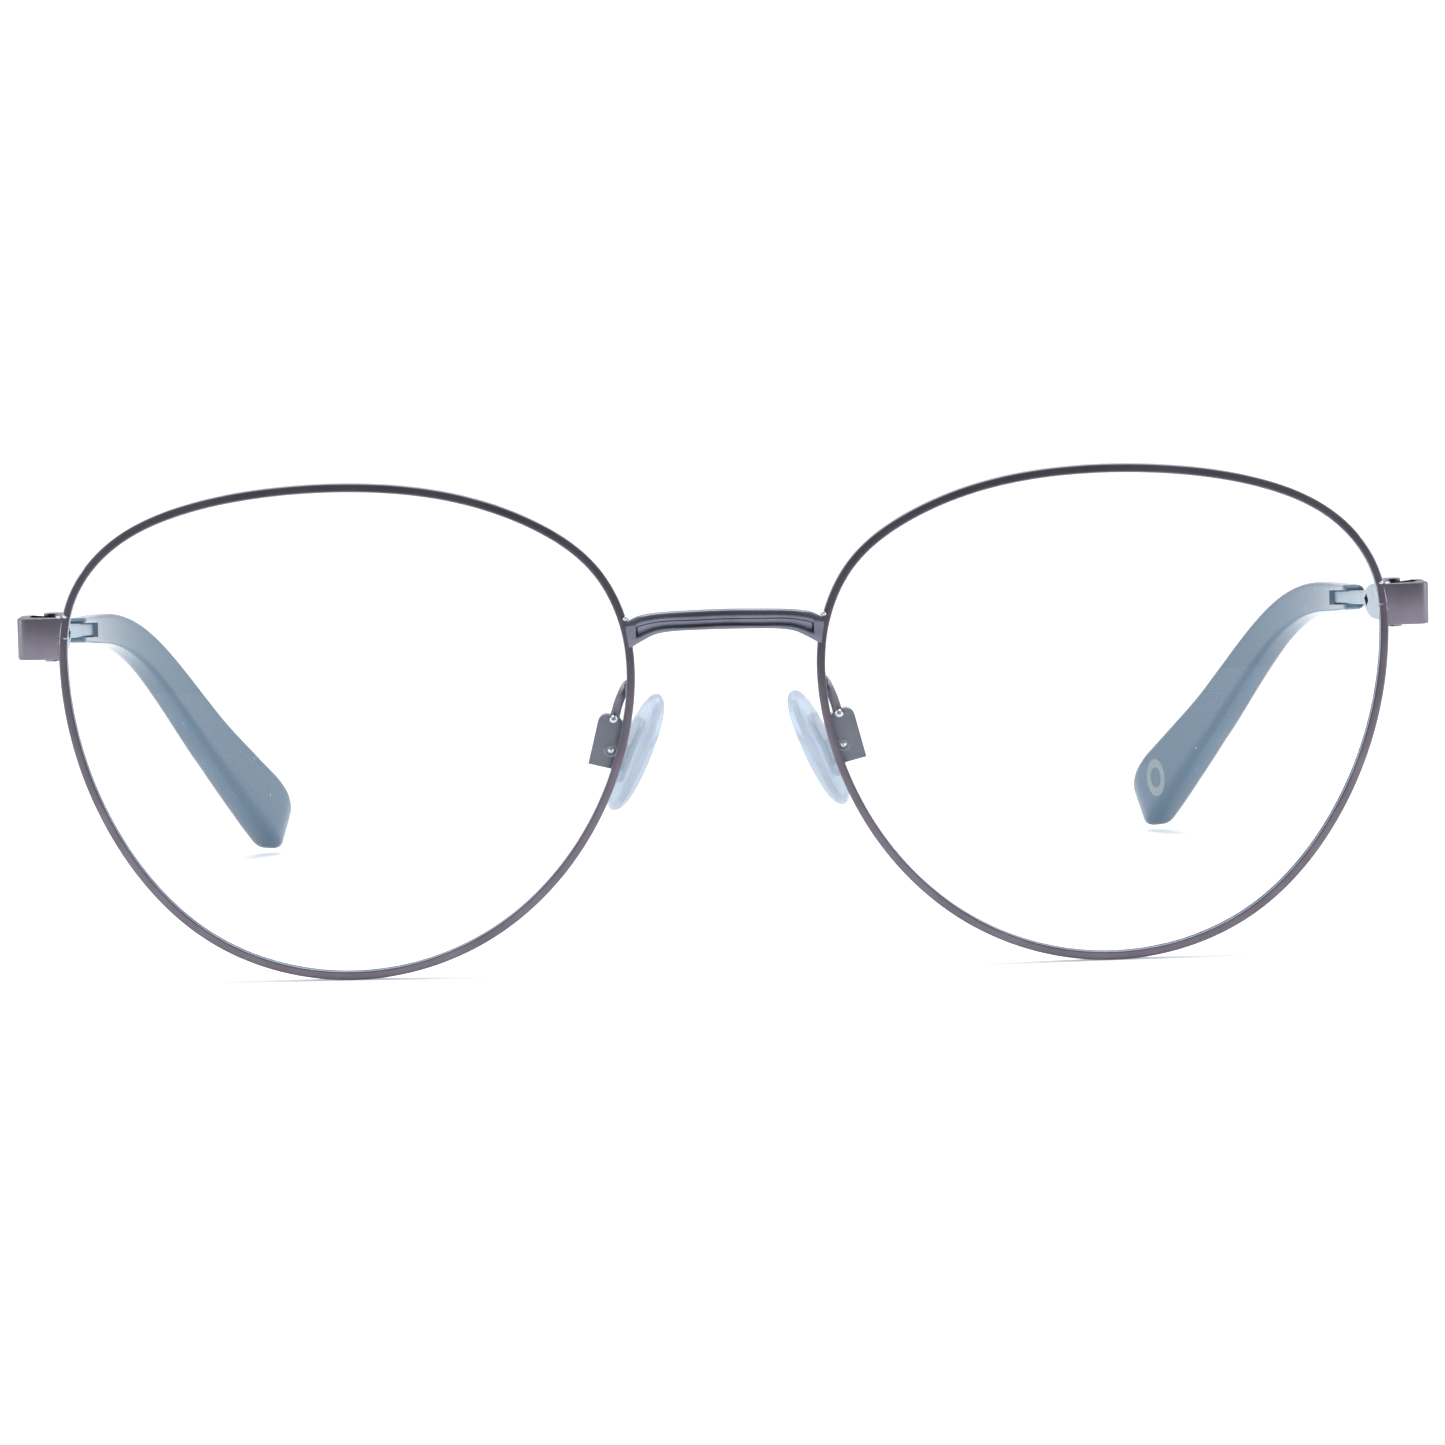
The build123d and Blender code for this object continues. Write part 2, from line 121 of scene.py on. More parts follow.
SWEEP_BACK = 0.9
SWEEP_RADIUS = 0.7
sweep_turn = [
    (SWEEP_BACK + SWEEP_RADIUS * math.sin(t), SWEEP_RADIUS - SWEEP_RADIUS * math.cos(t))
    for t in np.linspace(0, math.pi / 2, 24)
]
sweep_line = [(-1.6, 0.0)] + sweep_turn + [(1.6, 1.8)]
sweep_mesh = bpy.data.meshes.new("backdrop")
sweep_mesh.from_pydata(
    [(x, y, z + FLOOR * MM) for y, z in sweep_line for x in (-2.5, 2.5)],
    [],
    [(2 * i, 2 * i + 1, 2 * i + 3, 2 * i + 2) for i in range(len(sweep_line) - 1)],
)
backdrop = bpy.data.objects.new("backdrop", sweep_mesh)
bpy.context.scene.collection.objects.link(backdrop)
for face in sweep_mesh.polygons:
    face.use_smooth = True


def fresh_finish(name):
    """A new material, with its nodes, its links and its main shader."""
    made = bpy.data.materials.new(name)
    made.use_nodes = True
    nodes = made.node_tree.nodes
    return made, nodes, made.node_tree.links, nodes["Principled BSDF"]


paper, _, _, paper_shader = fresh_finish("white_paper")
paper_shader.inputs["Base Color"].default_value = (0.95, 0.955, 0.96, 1)
paper_shader.inputs["Roughness"].default_value = 0.9
paper_shader.inputs["Emission Color"].default_value = (1, 1, 1, 1)
paper_shader.inputs["Emission Strength"].default_value = 0.3
sweep_mesh.materials.append(paper)


# Rims: flat gunmetal wire, 0.84 wide and 1.8 deep, rolled to the lens shape and grooved inside.
# Each is cut through behind the end piece, where the closing blocks pull it together.
BASE = FLOOR + 0.4
RIM_TO_CENTRE = 28.39
LENS_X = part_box("rim_left")[0].x / MM + RIM_TO_CENTRE
LENS_Z = BASE + 24.13
DOME = 125.0
DOME_X = 28.0
DOME_Z = BASE + 24.4
RIM_HALF = 0.42
RIM_DEPTH = 1.8
GROOVE_FLOOR = 0.08
SPLIT_Z = BASE + 33.85
HALF_SPLIT = 0.06
RIM_LINE = (
    (27.0, 0.0),
    (27.9, 7.0),
    (27.1, 13.2),
    (23.4, 18.3),
    (15.5, 22.2),
    (6.4, 23.8),
    (-2.1, 24.0),
    (-10.7, 22.9),
    (-18.7, 20.0),
    (-24.7, 15.4),
    (-27.6, 9.0),
    (-27.4, 0.0),
    (-23.1, -10.8),
    (-14.0, -20.0),
    (0.0, -24.1),
    (14.1, -20.1),
    (22.8, -10.6),
)


def bend_through(points, where, closed=False):
    """Places and directions on a smooth wire bent through the points; where runs from 0 to 1."""
    p = np.array(list(points) + ([points[0]] if closed else []), float)
    gap = np.linalg.norm(np.diff(p, axis=0), axis=1)
    knot = np.concatenate([[0], np.cumsum(gap)])
    n = len(gap)
    system = np.zeros((n + 1, n + 1))
    load = np.zeros((n + 1, p.shape[1]))
    rise = np.diff(p, axis=0) / gap[:, None]
    for i in range(1, n):
        system[i, i - 1 : i + 2] = gap[i - 1], 2 * (gap[i - 1] + gap[i]), gap[i]
        load[i] = 6 * (rise[i] - rise[i - 1])
    if closed:
        system[0, [0, 1, n - 1]] = 2 * (gap[0] + gap[-1]), gap[0], gap[-1]
        load[0] = 6 * (rise[0] - rise[-1])
        system[n, [0, n]] = 1, -1
    else:
        system[0, 0] = system[n, n] = 1
    bend = np.linalg.solve(system, load)
    at = np.clip(np.asarray(where, float), 0, 1) * knot[-1]
    k = np.clip(np.searchsorted(knot, at, "right") - 1, 0, n - 1)
    h = gap[k][:, None]
    a = (knot[k + 1] - at)[:, None] / h
    b = 1 - a
    place = a * p[k] + b * p[k + 1] + ((a**3 - a) * bend[k] + (b**3 - b) * bend[k + 1]) * h**2 / 6
    heading = rise[k] + ((3 * b**2 - 1) * bend[k + 1] - (3 * a**2 - 1) * bend[k]) * h / 6
    return place, heading / np.linalg.norm(heading, axis=1)[:, None]


def dome_back(x, z, depth):
    """How far back the dome of the lens lies at x, z, for a surface that deep in it."""
    return FRONT + DOME - np.sqrt((DOME - depth) ** 2 - (x - DOME_X) ** 2 - (z - DOME_Z) ** 2)


def eased(corners, radii, steps=3):
    """A closed section with its corners rounded off."""
    out = []
    count = len(corners)
    for i, (corner, radius) in enumerate(zip(corners, radii)):
        c = np.array(corner, float)
        before = np.array(corners[i - 1], float) - c
        after = np.array(corners[(i + 1) % count], float) - c
        reach = min(radius, 0.49 * np.linalg.norm(before), 0.49 * np.linalg.norm(after))
        start = c + before / max(np.linalg.norm(before), 1e-9) * reach
        end = c + after / max(np.linalg.norm(after), 1e-9) * reach
        for s in np.linspace(0, 1, steps + 1):
            out.append((1 - s) ** 2 * start + 2 * s * (1 - s) * c + s**2 * end)
    return np.array(out)


def skin(rings, ends=True):
    """Quads over a row of rings of points, with flat ends."""
    rings = np.asarray(rings, float)
    rows, cols = rings.shape[:2]
    faces = []
    for i in range(rows - 1):
        for j in range(cols):
            a, b = i * cols, (i + 1) * cols
            faces.append((a + j, a + (j + 1) % cols, b + (j + 1) % cols, b + j))
    if ends:
        faces.append(tuple(reversed(range(cols))))
        faces.append(tuple((rows - 1) * cols + j for j in range(cols)))
    return rings.reshape(-1, 3), faces


def piece(name, body, stands_for, points, faces, materials, side=1, smooth=40, shade=None):
    """A finished piece: its mesh, its materials, and the part of the frame that it moves with."""
    mesh = bpy.data.meshes.new(name)
    mesh.from_pydata([(side * x * MM, y * MM, z * MM) for x, y, z in points], [], faces)
    # The optional shade values become a point attribute; the tips use it for painted shade.
    if shade is not None:
        mesh.attributes.new("shade", "FLOAT", "POINT").data.foreach_set("value", shade)
    work = bmesh.new()
    work.from_mesh(mesh)
    bmesh.ops.remove_doubles(work, verts=work.verts, dist=1e-7)
    bmesh.ops.recalc_face_normals(work, faces=work.faces)
    work.to_mesh(mesh)
    work.free()
    for material in materials:
        mesh.materials.append(material)
    mesh.shade_smooth()
    made = bpy.data.objects.new(name, mesh)
    bpy.context.scene.collection.objects.link(made)
    if smooth < 180:
        mesh.set_sharp_from_angle(angle=math.radians(smooth))
    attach(made, body)
    if stands_for:
        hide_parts(*stands_for)
    return made


def mottle(nodes, links, scale, detail=2.0):
    """An even mottle that stays put on the piece, as a value from 0 to 1."""
    place = nodes.new("ShaderNodeTexCoord")
    noise = nodes.new("ShaderNodeTexNoise")
    noise.inputs["Scale"].default_value = scale
    noise.inputs["Detail"].default_value = detail
    links.new(place.outputs["Object"], noise.inputs["Vector"])
    return noise.outputs["Fac"]


def between(nodes, links, share, first, last, span=(0.0, 1.0)):
    """A colour that runs from the first to the last as the share crosses the span."""
    shade = nodes.new("ShaderNodeValToRGB")
    for stop, colour, position in zip(shade.color_ramp.elements, (first, last), span):
        stop.color = (*colour, 1)
        stop.position = position
    links.new(share, shade.inputs["Fac"])
    return shade.outputs["Color"]


PLATING_DRIFT = 0.12
SHEEN_DRIFT = 0.07
GRAIN_DEPTH = 0.00004


def metal(name, colour, roughness, grain, relief):
    """Plated metal: a fine satin grain, and a slow drift in shade where the plating varies."""
    made, nodes, links, shader = fresh_finish(name)
    shader.inputs["Metallic"].default_value = 1.0
    darker = [c * (1 - PLATING_DRIFT) for c in colour]
    lighter = [c * (1 + PLATING_DRIFT) for c in colour]
    drift = between(nodes, links, mottle(nodes, links, 260, 3), darker, lighter, (0.3, 0.72))
    links.new(drift, shader.inputs["Base Color"])
    fine = mottle(nodes, links, grain, 4)
    sheen = nodes.new("ShaderNodeMapRange")
    sheen.inputs["To Min"].default_value = roughness - SHEEN_DRIFT
    sheen.inputs["To Max"].default_value = roughness + SHEEN_DRIFT
    links.new(fine, sheen.inputs["Value"])
    links.new(sheen.outputs["Result"], shader.inputs["Roughness"])
    bump = nodes.new("ShaderNodeBump")
    bump.inputs["Strength"].default_value = relief
    bump.inputs["Distance"].default_value = GRAIN_DEPTH
    links.new(fine, bump.inputs["Height"])
    links.new(bump.outputs["Normal"], shader.inputs["Normal"])
    return made


gunmetal = metal("rim_gunmetal", (0.155, 0.135, 0.165), 0.32, 9000, 0.25)
# The side walls of the wire get a lighter, bluer copy of the gunmetal: a painted reflection of the
# bright room, not a different finish.
rim_wall_reflection_paint = metal("rim_wall_painted_reflection", (0.33, 0.4, 0.5), 0.16, 9000, 0.1)

STEPS_ROUND = 6000
dense, _ = bend_through(RIM_LINE, np.linspace(0, 1, STEPS_ROUND + 1), closed=True)
dense_z = dense[:, 1] + LENS_Z
outer_side = dense[:, 0] > 20
just_above = np.flatnonzero(outer_side & (dense_z > SPLIT_Z + HALF_SPLIT))[0]
just_below = np.flatnonzero(outer_side & (dense_z < SPLIT_Z - HALF_SPLIT))
just_below = just_below[just_below < just_above][-1]
along = np.linspace(just_above / STEPS_ROUND, 1 + just_below / STEPS_ROUND, 300) % 1.0
middle, heading = bend_through(RIM_LINE, along, closed=True)
outward = np.stack([heading[:, 1], -heading[:, 0]], 1)
rim_section = eased(
    [
        (RIM_HALF, 0.0),
        (RIM_HALF, RIM_DEPTH),
        (-RIM_HALF, RIM_DEPTH),
        (-RIM_HALF, 1.24),
        (-GROOVE_FLOOR, 1.2),
        (-GROOVE_FLOOR, 0.6),
        (-RIM_HALF, 0.56),
        (-RIM_HALF, 0.0),
    ],
    [0.17, 0.2, 0.16, 0.05, 0.05, 0.05, 0.05, 0.15],
)
rim_rings = []
for (x, z), (nx, nz) in zip(middle, outward):
    ring_x = LENS_X + x + nx * rim_section[:, 0]
    ring_z = LENS_Z + z + nz * rim_section[:, 0]
    rim_rings.append(np.stack([ring_x, dome_back(ring_x, ring_z, rim_section[:, 1]), ring_z], 1))
rim_points, rim_faces = skin(rim_rings)
for side, hand in ((1, "left"), (-1, "right")):
    rim = piece(
        "rim_wire_" + hand,
        "front",
        ["rim_" + hand],
        rim_points,
        rim_faces,
        [gunmetal, rim_wall_reflection_paint],
        side,
        50,
    )
    # Faces on the side walls of the wire take the painted reflection copy; the front and back
    # faces keep the gunmetal.
    for face in rim.data.polygons:
        x, y, z = face.center / MM
        into = y - dome_back(abs(x), z, 0)
        face.material_index = 1 if 0.05 < into < RIM_DEPTH - 0.1 else 0


# Lenses: clear moulded plastic, domed, 1.1 thick, edged with a tongue that sits in the groove.
# The polished edge is hidden in the rim; only faint reflections show on the faces.
clear_lens, lens_nodes, lens_links, lens_gloss = fresh_finish("clear_lens")
lens_gloss.inputs["Metallic"].default_value = 1.0
lens_gloss.inputs["Base Color"].default_value = (0.9, 0.95, 1.0, 1)
lens_gloss.inputs["Roughness"].default_value = 0.02
lens_through = lens_nodes.new("ShaderNodeBsdfTransparent")
lens_through.inputs["Color"].default_value = (0.99, 0.995, 1.0, 1)
lens_facing = lens_nodes.new("ShaderNodeLayerWeight")
lens_facing.inputs["Blend"].default_value = 0.5
lens_steep = lens_nodes.new("ShaderNodeMath")
lens_steep.operation = "POWER"
lens_steep.inputs[1].default_value = 5.0
lens_skin = lens_nodes.new("ShaderNodeMath")
lens_skin.operation = "MULTIPLY_ADD"
lens_skin.inputs[1].default_value = 0.6
lens_skin.inputs[2].default_value = 0.012
lens_links.new(lens_facing.outputs["Facing"], lens_steep.inputs[0])
lens_links.new(lens_steep.outputs["Value"], lens_skin.inputs[0])
lens_mix = lens_nodes.new("ShaderNodeMixShader")
lens_links.new(lens_skin.outputs["Value"], lens_mix.inputs["Fac"])
lens_links.new(lens_through.outputs["BSDF"], lens_mix.inputs[1])
lens_links.new(lens_gloss.outputs["BSDF"], lens_mix.inputs[2])
lens_links.new(lens_mix.outputs["Shader"], lens_nodes["Material Output"].inputs["Surface"])

around, lens_heading = bend_through(RIM_LINE, np.arange(160) / 160, closed=True)
lens_outward = np.stack([lens_heading[:, 1], -lens_heading[:, 0]], 1)
LENS_LAYERS = (
    [(s, -0.5, 0.35) for s in (0.04, 0.2, 0.4, 0.6, 0.78, 0.92, 1.0)]
    + [(1.0, -0.44, 0.62), (1.0, -0.14, 0.64), (1.0, -0.14, 1.16), (1.0, -0.44, 1.18)]
    + [(s, -0.5, 1.45) for s in (1.0, 0.92, 0.78, 0.6, 0.4, 0.2, 0.04)]
)
lens_rings = []
for share, inset, depth in LENS_LAYERS:
    x = LENS_X + share * (around[:, 0] + lens_outward[:, 0] * inset)
    z = LENS_Z + share * (around[:, 1] + lens_outward[:, 1] * inset)
    lens_rings.append(np.stack([x, dome_back(x, z, depth), z], 1))
lens_points, lens_faces = skin(lens_rings)
for side, hand in ((1, "left"), (-1, "right")):
    piece(
        "clear_lens_" + hand,
        "front",
        ["lens_" + hand],
        lens_points,
        lens_faces,
        [clear_lens],
        side,
        30,
    )


# Bridge: one stamped bar, polished, bowed forward between the rims and deeper at its ends,
# where it is brazed on. A long shallow pocket is pressed in its front.
BRIDGE_TOP = (
    (0, 35.47),
    (4.2, 35.37),
    (6.8, 35.21),
    (7.9, 35.05),
    (8.8, 34.79),
    (9.6, 34.37),
    (10.4, 33.9),
)
BRIDGE_UNDER = (
    (0, 33.51),
    (4.0, 33.45),
    (5.7, 33.33),
    (7.1, 33.0),
    (7.9, 32.59),
    (8.8, 32.08),
    (9.57, 31.58),
    (10.4, 31.1),
)
POCKET_TOP = ((0, 34.59), (3.5, 34.52), (7.0, 34.33), (8.75, 33.91))
POCKET_UNDER = ((0, 33.91), (4.0, 33.8), (7.2, 33.48), (8.75, 32.8))
POCKET_END = 8.75
POCKET_DEPTH = 0.36
BOW_LEAD = 0.25
BOW_BACK = 1.7
BOW_REACH = 10.6
BRIDGE_END = 9.72
BRIDGE_DEPTH = 1.5


def height_along(points, x):
    """The height of a bent line at each x."""
    line, _ = bend_through(points, np.linspace(0, 1, 600))
    return np.interp(x, line[:, 0], line[:, 1]) + BASE


def across_bridge(half):
    """The whole of an edge that is the same on both sides of the middle."""
    return tuple((-x, z) for x, z in reversed(half)) + half[1:]


bridge_x = np.concatenate(
    [
        np.linspace(-BRIDGE_END, -POCKET_END - 0.04, 9),
        np.linspace(-POCKET_END, POCKET_END, 91),
        np.linspace(POCKET_END + 0.04, BRIDGE_END, 9),
    ]
)
bow = BOW_LEAD + BOW_BACK * (bridge_x / BOW_REACH) ** 2
top_z = height_along(across_bridge(BRIDGE_TOP), bridge_x)
under_z = height_along(across_bridge(BRIDGE_UNDER), bridge_x)
pocket_top = height_along(across_bridge(POCKET_TOP), bridge_x)
pocket_under = height_along(across_bridge(POCKET_UNDER), bridge_x)
pocket_deep = POCKET_DEPTH * np.clip((POCKET_END - np.abs(bridge_x)) / 0.3, 0, 1) ** 0.5
bridge_rings = []
for x, y, top, under, high, low, deep in zip(
    bridge_x, bow, top_z, under_z, pocket_top, pocket_under, pocket_deep
):
    corners = [
        (y + 0.02, top),
        (y + BRIDGE_DEPTH, top),
        (y + BRIDGE_DEPTH, under),
        (y, under),
        (y, low),
        (y + deep, low + 0.12),
        (y + deep, high - 0.12),
        (y, high),
    ]
    section = eased(corners, [0.42, 0.3, 0.35, 0.3, 0.07, 0.05, 0.05, 0.07], 4)
    bridge_rings.append([(x, FRONT + back, z) for back, z in section])
bridge_metal = metal("bridge_gunmetal", (0.18, 0.185, 0.235), 0.15, 7000, 0.06)
bridge_points, bridge_faces = skin(bridge_rings)
piece(
    "bridge_bar",
    "front",
    ["bridge"],
    bridge_points,
    bridge_faces,
    [bridge_metal],
    1,
    35,
)

# Braze: bright drops of filler left where the bridge and the end pieces meet the rims.
braze_metal = metal("braze", (0.62, 0.64, 0.68), 0.12, 5000, 0.1)


def once_round(count):
    """That many equal turns, once round."""
    return np.linspace(0, 2 * math.pi, count + 1)[:-1]


def braze_drop(name, centre, reach, lean=0):
    """A drop that has wetted both pieces: round on top, drawn out along the joint."""
    rings = []
    for s in np.linspace(0.02, 0.98, 9):
        wide = math.sin(math.pi * s) ** 0.7
        off = (s - 0.5) * 2 * reach[0]
        ring = []
        for turn in once_round(16):
            back = reach[1] * wide * math.cos(turn)
            up = reach[2] * wide * math.sin(turn) * (0.75 if math.sin(turn) < 0 else 1.0)
            ring.append((centre[0] + off, centre[1] + back, centre[2] + up + lean * off))
        rings.append(ring)
    for side, hand in ((1, "left"), (-1, "right")):
        points, faces = skin(rings)
        piece(name + "_" + hand, "front", [], points, faces, [braze_metal], side, 180)


braze_drop("bridge_braze", (9.72, FRONT + 1.55, FLOOR + 35.08), (0.34, 0.36, 0.32))


# End pieces: plate bent round the corner of the front and brazed on the side of the rim,
# satin on its broad face with the edges broken.
END_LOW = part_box("end_piece_left")[0].z / MM
END_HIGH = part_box("end_piece_left")[1].z / MM
end_plan = eased(
    [(65.15, 6.2), (69.8, 6.78), (69.57, 11.3), (68.3, 11.3), (68.35, 7.85), (65.15, 7.25)],
    [0.02, 1.15, 0.12, 0.12, 0.5, 0.02],
    8,
)
BROKEN = ((0, 0.2), (0.04, 0.09), (0.1, 0.03), (0.2, 0.0))
end_levels = [(END_LOW + rise, inset) for rise, inset in BROKEN]
end_levels += [(END_HIGH - rise, inset) for rise, inset in reversed(BROKEN)]
before = np.roll(end_plan, 1, axis=0) - end_plan
after = np.roll(end_plan, -1, axis=0) - end_plan
end_edge = after / np.linalg.norm(after, axis=1)[:, None]
end_edge = end_edge - before / np.linalg.norm(before, axis=1)[:, None]
end_edge = end_edge / np.linalg.norm(end_edge, axis=1)[:, None]
end_rings = [
    [(x - inset * ny, FRONT + y + inset * nx, z) for (x, y), (nx, ny) in zip(end_plan, end_edge)]
    for z, inset in end_levels
]
satin = metal("end_piece_satin", (0.2, 0.185, 0.225), 0.36, 9000, 0.6)
end_points, end_faces = skin(end_rings)
for side, hand in ((1, "left"), (-1, "right")):
    piece(
        "corner_plate_" + hand,
        "front",
        ["end_piece_" + hand],
        end_points,
        end_faces,
        [satin],
        side,
        35,
    )
braze_drop("corner_braze", (64.95, FRONT + 5.7, FLOOR + 36.4), (0.25, 0.3, 0.2))
braze_drop("corner_braze_outer", (65.55, FRONT + 6.3, FLOOR + 36.32), (0.36, 0.3, 0.16), 0.1)


# Closing blocks, hinges and screws: small turned and milled parts in the same plating,
# with their edges just broken.
screw_steel = metal("screw_steel", (0.25, 0.26, 0.3), 0.2, 6000, 0.1)


def broken_edges(node, material, width):
    """The solid as it is, with its edges broken and the metal's finish."""
    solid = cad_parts[node]
    solid.data.materials.clear()
    solid.data.materials.append(material)
    edge = solid.modifiers.new("broken_edges", "BEVEL")
    edge.width = width * MM
    edge.segments = 2
    edge.limit_method = "ANGLE"
    edge.angle_limit = math.radians(35)
    edge.harden_normals = False


for hand in ("left", "right"):
    for node in ("closing_block_upper_", "closing_block_lower_", "hinge_front_"):
        broken_edges(node + hand, gunmetal, 0.08)
    for node in ("rim_screw_", "hinge_screw_", "pad_screw_"):
        broken_edges(node + hand, screw_steel, 0.05)


# Temples: spring-steel strip, broad as far as a rounded shoulder and then a 1.4 mm band,
# satin plated in a lighter grey. A small recess is punched in the inner face of the shoulder.
temple_steel = metal("temple_steel", (0.3, 0.38, 0.46), 0.34, 8000, 0.3)
# Near-black painted shade for hollows: the recess in the strip and the groove round the peened
# screw.
recess_painted_shade = metal("painted_shade_in_hollow", (0.02, 0.015, 0.015), 0.6, 4000, 0.2)
STRIP_PLAN = (
    (11.42, 68.75),
    (22, 68.1),
    (40, 67.5),
    (56, 67.65),
    (70, 67.6),
    (80, 66.9),
    (90, 65.4),
    (100.5, 62.9),
)
STRIP_TOP = (
    (11.42, 35.88),
    (18.5, 35.26),
    (26, 34.6),
    (36, 33.85),
    (41, 33.45),
    (45, 32.95),
    (48.5, 32.35),
    (52, 31.99),
    (58, 31.59),
    (70, 30.78),
    (80, 30.11),
    (90, 29.4),
)
STRIP_UNDER = (
    (11.42, 31.8),
    (18.5, 31.29),
    (26, 30.75),
    (36, 30.15),
    (41, 29.98),
    (45, 30.1),
    (47.5, 30.4),
    (49.5, 30.62),
    (52, 30.57),
    (58, 30.17),
    (70, 29.36),
    (80, 28.69),
    (90, 28.0),
)
STRIP_HALF = 0.525
RECESS_AT = 46.2
RECESS_LONG = 2.6
RECESS_HIGH = 0.7
RECESS_DEEP = 0.32

strip_back = np.concatenate(
    [np.linspace(11.42, 38, 36), np.linspace(38.4, 53, 60), np.linspace(54, 84, 32)]
)
plan_line, plan_heading = bend_through(STRIP_PLAN, np.linspace(0, 1, 900))
strip_x = np.interp(strip_back, plan_line[:, 0], plan_line[:, 1])
strip_turn = np.interp(strip_back, plan_line[:, 0], plan_heading[:, 1])
strip_high = height_along(STRIP_TOP, strip_back)
strip_low = height_along(STRIP_UNDER, strip_back)
strip_middle = (strip_high + strip_low) / 2
strip_rings = []
for back, x, turn, high, low in zip(strip_back, strip_x, strip_turn, strip_high, strip_low):
    centre = (high + low) / 2
    half = (high - low) / 2
    open_share = 1 - abs(back - RECESS_AT) / RECESS_LONG
    slot = RECESS_HIGH * max(open_share, 0.02)
    deep = RECESS_DEEP if open_share > 0.03 else 0.0
    corners = [
        (STRIP_HALF, half),
        (STRIP_HALF, -half),
        (-STRIP_HALF, -half),
        (-STRIP_HALF, -slot),
        (-STRIP_HALF + deep, -slot * 0.8),
        (-STRIP_HALF + deep, slot * 0.8),
        (-STRIP_HALF, slot),
        (-STRIP_HALF, half),
    ]
    section = eased(corners, [0.2, 0.2, 0.2, 0.01, 0.01, 0.01, 0.01, 0.2])
    lean = math.atan2(turn, 1.0)
    strip_rings.append(
        [
            (x + u * math.cos(lean), FRONT + back - u * math.sin(lean), centre + v)
            for u, v in section
        ]
    )
strip_points, strip_faces = skin(strip_rings)
for side, hand in ((1, "left"), (-1, "right")):
    strip = piece(
        "temple_strip_" + hand,
        "temple_" + hand[0],
        ["temple_" + hand],
        strip_points,
        strip_faces,
        [temple_steel, recess_painted_shade],
        side,
        35,
    )
    for face in strip.data.polygons:
        x, y, z = face.center / MM
        back = y - FRONT
        from_centre = abs(x) - np.interp(back, strip_back, strip_x)
        off_middle = abs(z - np.interp(back, strip_back, strip_middle))
        # Faces inside the recess take the near-black painted shade.
        if -STRIP_HALF + 0.05 < from_centre < 0.3:
            if abs(back - RECESS_AT) < RECESS_LONG and off_middle < RECESS_HIGH:
                face.material_index = 1
    broken_edges("hinge_temple_" + hand, temple_steel, 0.08)


# Temple tips: polished blue-grey acetate, pushed warm on to the strip, bent down and inwards.
# They thicken to a rounded end, and the strip lies in an open notch at their front.
acetate, acetate_nodes, acetate_links, acetate_shader = fresh_finish("blue_grey_acetate")
acetate_shader.inputs["Roughness"].default_value = 0.16
acetate_shader.inputs["IOR"].default_value = 1.48
acetate_shader.inputs["Specular IOR Level"].default_value = 0.3
acetate_shader.inputs["Coat Weight"].default_value = 0.15
acetate_shader.inputs["Coat Roughness"].default_value = 0.06
acetate_shader.inputs["Subsurface Weight"].default_value = 0.12
acetate_shader.inputs["Subsurface Radius"].default_value = (0.0006, 0.001, 0.0014)
acetate_cloud = between(
    acetate_nodes,
    acetate_links,
    mottle(acetate_nodes, acetate_links, 90, 3),
    (0.06, 0.12, 0.185),
    (0.078, 0.142, 0.212),
)
acetate_place = acetate_nodes.new("ShaderNodeTexCoord")
# Painted shade: the "shade" attribute mixes the acetate towards a near-black blue on the outer
# side of the tips, where less light falls.
painted_shade_attribute = acetate_nodes.new("ShaderNodeAttribute")
painted_shade_attribute.attribute_name = "shade"
painted_shade_mix = acetate_nodes.new("ShaderNodeMix")
painted_shade_mix.data_type = "RGBA"
painted_shade_mix.inputs["A"].default_value = (0.018, 0.036, 0.055, 1)
dust = acetate_nodes.new("ShaderNodeTexVoronoi")
dust.inputs["Scale"].default_value = 420
dust_spot = acetate_nodes.new("ShaderNodeMapRange")
dust_spot.inputs["From Min"].default_value = 0.035
dust_spot.inputs["From Max"].default_value = 0.075
dust_spot.inputs["To Min"].default_value = 0.55
dust_spot.inputs["To Max"].default_value = 0.0
dusted = acetate_nodes.new("ShaderNodeMix")
dusted.data_type = "RGBA"
dusted.inputs["B"].default_value = (0.75, 0.8, 0.85, 1)
acetate_links.new(acetate_place.outputs["Object"], dust.inputs["Vector"])
acetate_links.new(acetate_cloud, painted_shade_mix.inputs["B"])
acetate_links.new(painted_shade_attribute.outputs["Fac"], painted_shade_mix.inputs["Factor"])
acetate_links.new(painted_shade_mix.outputs["Result"], dusted.inputs["A"])
acetate_links.new(dust.outputs["Distance"], dust_spot.inputs["Value"])
acetate_links.new(dust_spot.outputs["Result"], dusted.inputs["Factor"])
acetate_links.new(dusted.outputs["Result"], acetate_shader.inputs["Base Color"])

